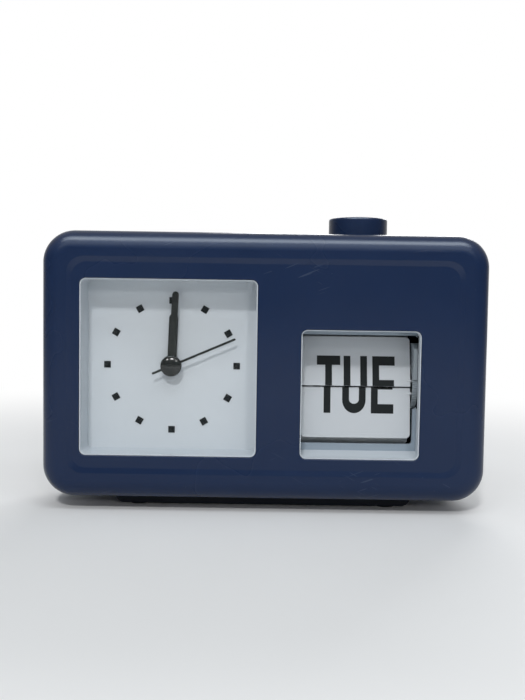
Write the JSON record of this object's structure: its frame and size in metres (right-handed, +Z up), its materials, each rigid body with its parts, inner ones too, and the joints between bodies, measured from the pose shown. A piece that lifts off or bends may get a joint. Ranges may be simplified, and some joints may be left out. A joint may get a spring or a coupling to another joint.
{
  "type": "desk clock with calendar",
  "caption": "Rounded box desk clock with a square analogue dial, a flip-card weekday window, a push button on top and a low foot.",
  "frame": {"origin": "under the middle of the clock, on the surface that it stands on", "axes": "+Z up, the face looks towards -Y, +X to the right of a reader"},
  "size_m": [0.18, 0.054, 0.1213],
  "materials": {
    "navy_plastic": "satin moulded, slightly textured",
    "dark_navy_plastic": "matte moulded",
    "black_rubber": "matte",
    "zinc_steel": "zinc plated",
    "white_plastic": "satin moulded",
    "dial_white": "printed white, satin",
    "print_black": "printed ink",
    "clear_pane": "clear",
    "hand_black": "satin lacquer",
    "black_plastic": "satin moulded",
    "brass": "machined",
    "ivory_plastic": "moulded",
    "dark_magnet": "sintered",
    "spring_steel": "bright",
    "copper_wire": "enamelled winding",
    "board_green": "solder mask",
    "battery_wrap": "plain wrap",
    "grey_plastic": "moulded",
    "card_white": "satin sheet"
  },
  "bodies": {
    "case": {"front_bezel": "navy_plastic", "rear_housing": "navy_plastic", "inner_frame": "white_plastic", "battery": "battery_wrap", "negative_contact": "spring_steel", "positive_contact": "spring_steel", "case_screws": "zinc_steel", "base_foot": "dark_navy_plastic", "rubber_pads": "black_rubber", "foot_screws": "zinc_steel", "dial_lens": "clear_pane", "dial_plate": "dial_white", "hour_markers": "print_black", "movement_front": "black_plastic", "movement_cover": "black_plastic", "movement_screws": "zinc_steel", "dial_screws": "zinc_steel", "stator": "spring_steel", "drive_coil": "copper_wire", "circuit_board": "board_green", "calendar_cradle": "black_plastic", "card_guides": "grey_plastic", "cradle_screws": "zinc_steel", "detent_spring": "spring_steel", "button_spring": "spring_steel"},
    "battery_lid": {"battery_door": "navy_plastic"},
    "minute": {"minute_hand": "hand_black", "minute_arbor": "brass"},
    "hour": {"hour_hand": "hand_black", "hour_wheel": "ivory_plastic"},
    "second": {"second_hand": "hand_black", "hand_cap": "hand_black", "seconds_wheel": "ivory_plastic"},
    "setting": {"motion_wheel": "ivory_plastic", "set_knob": "black_plastic"},
    "reduction": {"reduction_wheel": "ivory_plastic"},
    "rotor": {"rotor": "dark_magnet"},
    "button": {"day_button": "navy_plastic", "push_arm": "grey_plastic", "push_pawl": "spring_steel"},
    "spool": {"spool_axle": "spring_steel", "spool_disc_left": "grey_plastic", "spool_disc_right": "grey_plastic", "ratchet_wheel": "ivory_plastic"},
    "card_1": {"day_card_1": "card_white"},
    "card_2": {"day_card_2": "card_white"},
    "card_3": {"day_card_3": "card_white"},
    "card_4": {"day_card_4": "card_white"},
    "card_5": {"day_card_5": "card_white"},
    "card_6": {"day_card_6": "card_white"},
    "card_7": {"day_card_7": "card_white"}
  },
  "joints": [
    {"name": "minute_turn", "type": "hinge", "parent": "case", "child": "minute", "pos_m": [-0.0387, -0.0139, 0.0588], "axis": [0, 1, 0], "continuous": true},
    {"name": "hour_turn", "type": "hinge", "parent": "case", "child": "hour", "pos_m": [-0.0387, -0.0125, 0.0588], "axis": [0, 1, 0], "continuous": true},
    {"name": "knob_turn", "type": "hinge", "parent": "case", "child": "setting", "pos_m": [-0.0387, 0.025, 0.0684], "axis": [0, 1, 0], "continuous": true},
    {"name": "second_turn", "type": "hinge", "parent": "case", "child": "second", "pos_m": [-0.0387, -0.015, 0.0588], "axis": [0, 1, 0], "continuous": true},
    {"name": "reduction_turn", "type": "hinge", "parent": "case", "child": "reduction", "pos_m": [-0.0464, -0.002, 0.0588], "axis": [0, 1, 0], "continuous": true},
    {"name": "rotor_turn", "type": "hinge", "parent": "case", "child": "rotor", "pos_m": [-0.0464, -0.002, 0.05352], "axis": [0, 1, 0], "continuous": true},
    {"name": "battery_door_swing", "type": "hinge", "parent": "case", "child": "battery_lid", "pos_m": [-0.0387, 0.0221, 0.0296], "axis": [-1, 0, 0], "range_deg": [0, 85]},
    {"name": "day_press", "type": "slide", "parent": "case", "child": "button", "axis": [0, 0, -1], "range_m": [0, 0.005], "stiffness_N_per_m": 300, "springref_m": -0.003, "deforming": ["button_spring"]},
    {"name": "spool_turn", "type": "hinge", "parent": "case", "child": "spool", "pos_m": [0.0378, -0.009, 0.0513], "axis": [1, 0, 0], "range_deg": [0, 51.43]},
    {"name": "card_1_turn", "type": "hinge", "parent": "spool", "child": "card_1", "pos_m": [0.0378, -0.01441, 0.0539], "axis": [1, 0, 0], "range_deg": [0, 136.57]},
    {"name": "card_2_turn", "type": "hinge", "parent": "spool", "child": "card_2", "pos_m": [0.0378, -0.01034, 0.05715], "axis": [1, 0, 0], "range_deg": [-47.43, 0]},
    {"name": "card_3_turn", "type": "hinge", "parent": "spool", "child": "card_3", "pos_m": [0.0378, -0.00526, 0.05599], "axis": [1, 0, 0], "range_deg": [-9.43, 0]},
    {"name": "card_4_turn", "type": "hinge", "parent": "spool", "child": "card_4", "pos_m": [0.0378, -0.003, 0.0513], "axis": [1, 0, 0], "range_deg": [0, 13.57]},
    {"name": "card_5_turn", "type": "hinge", "parent": "spool", "child": "card_5", "pos_m": [0.0378, -0.00526, 0.04661], "axis": [1, 0, 0], "range_deg": [-21.43, 0]},
    {"name": "card_6_turn", "type": "hinge", "parent": "spool", "child": "card_6", "pos_m": [0.0378, -0.01034, 0.04545], "axis": [1, 0, 0], "range_deg": [-28.43, 0]},
    {"name": "card_7_turn", "type": "hinge", "parent": "spool", "child": "card_7", "pos_m": [0.0378, -0.01441, 0.0487], "axis": [1, 0, 0], "range_deg": [-43.43, 0]}
  ],
  "couplings": [
    {"joint": "hour_turn", "follows": "minute_turn", "ratio": 0.083333},
    {"joint": "knob_turn", "follows": "minute_turn", "ratio": -0.33333},
    {"joint": "reduction_turn", "follows": "second_turn", "ratio": -6},
    {"joint": "rotor_turn", "follows": "second_turn", "ratio": 30},
    {"joint": "spool_turn", "follows": "day_press", "rad_per_m": 179.52},
    {"joint": "card_1_turn", "follows": "day_press", "rad_per_m": 476.72},
    {"joint": "card_2_turn", "follows": "day_press", "rad_per_m": -165.56},
    {"joint": "card_3_turn", "follows": "day_press", "rad_per_m": -32.912},
    {"joint": "card_4_turn", "follows": "day_press", "rad_per_m": 47.373},
    {"joint": "card_5_turn", "follows": "day_press", "rad_per_m": -74.8},
    {"joint": "card_6_turn", "follows": "day_press", "rad_per_m": -99.234},
    {"joint": "card_7_turn", "follows": "day_press", "rad_per_m": -151.59}
  ]
}
